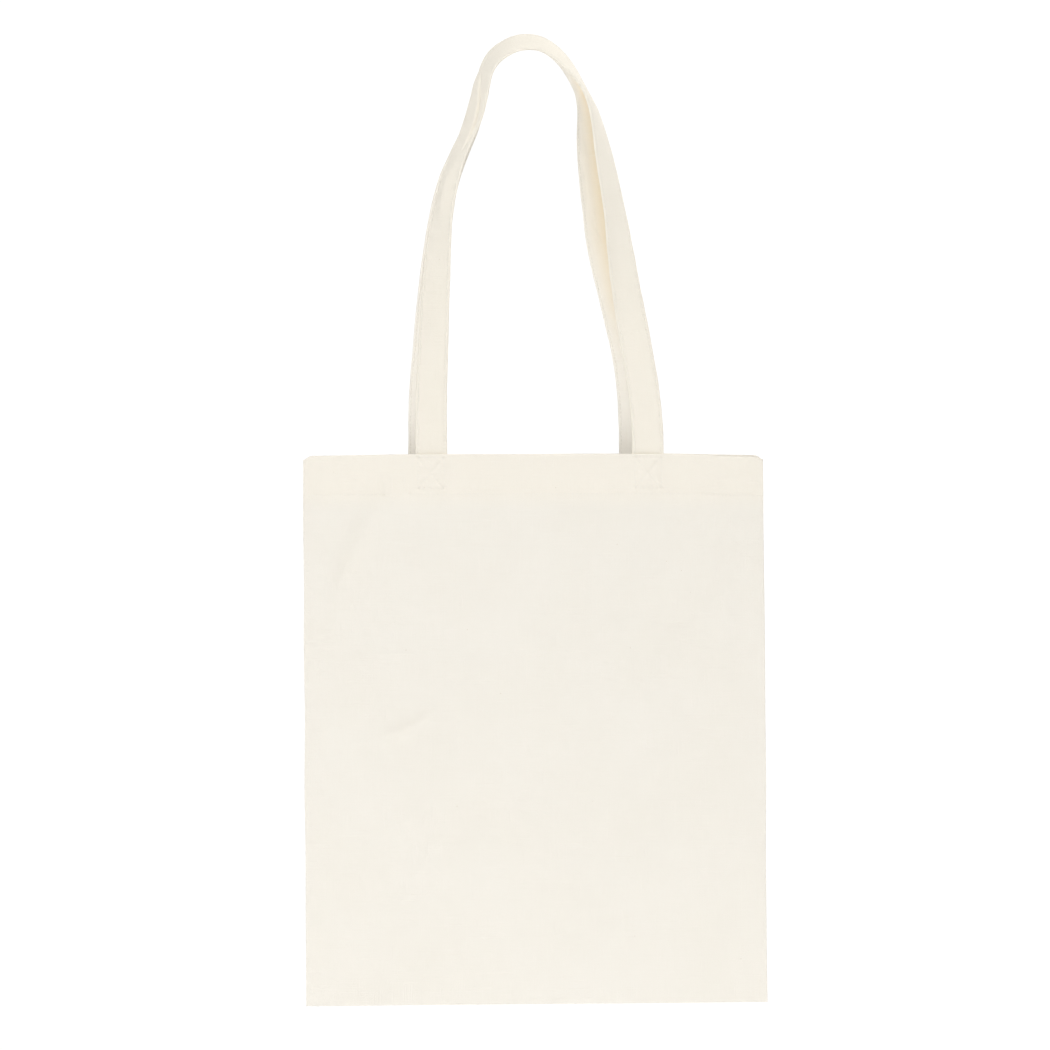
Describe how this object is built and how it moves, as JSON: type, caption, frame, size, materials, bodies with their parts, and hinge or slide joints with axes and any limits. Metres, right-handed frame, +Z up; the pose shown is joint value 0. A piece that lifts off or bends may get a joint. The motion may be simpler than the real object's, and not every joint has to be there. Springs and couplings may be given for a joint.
{
  "type": "canvas tote bag",
  "caption": "Flat natural canvas tote bag with a turned, stitched top hem and a long fabric shoulder handle on each face, hung up by both handles.",
  "frame": {"origin": "the hang point: under the top of the handle arch, midway between the front and the back handle, where a hook or peg carries the bag", "axes": "+Z up, +X to the right seen from the front, -Y out of the front face; the bag hangs down along -Z"},
  "size_m": [0.36, 0.0506, 0.7607],
  "materials": {
    "canvas": "matt plain-weave unbleached cotton canvas",
    "handle_webbing": "matt unbleached cotton canvas strip, folded and edge-stitched",
    "thread": "spun cotton sewing thread"
  },
  "bodies": {
    "bag": {"front_panel": "canvas", "back_panel": "canvas", "front_handle_left_end": "handle_webbing", "front_handle_right_end": "handle_webbing", "back_handle_left_end": "handle_webbing", "back_handle_right_end": "handle_webbing", "front_hem_stitching": "thread", "front_left_cross_stitch": "thread", "front_right_cross_stitch": "thread", "back_hem_stitching": "thread", "back_left_cross_stitch": "thread", "back_right_cross_stitch": "thread", "left_side_seam_thread": "thread", "right_side_seam_thread": "thread", "left_side_overlock": "thread", "right_side_overlock": "thread", "bottom_seam_thread": "thread", "bottom_overlock": "thread"},
    "front_handle": {"front_handle": "handle_webbing", "front_handle_stitching": "thread"},
    "back_handle": {"back_handle": "handle_webbing", "back_handle_stitching": "thread"}
  },
  "joints": [
    {"name": "front_handle_fold", "type": "hinge", "parent": "bag", "child": "front_handle", "pos_m": [0.003, -0.013, -0.3155], "axis": [1, 0, 0], "range_deg": [0, 170]},
    {"name": "back_handle_fold", "type": "hinge", "parent": "bag", "child": "back_handle", "pos_m": [-0.0045, 0.013, -0.3155], "axis": [-1, 0, 0], "range_deg": [0, 170]}
  ]
}
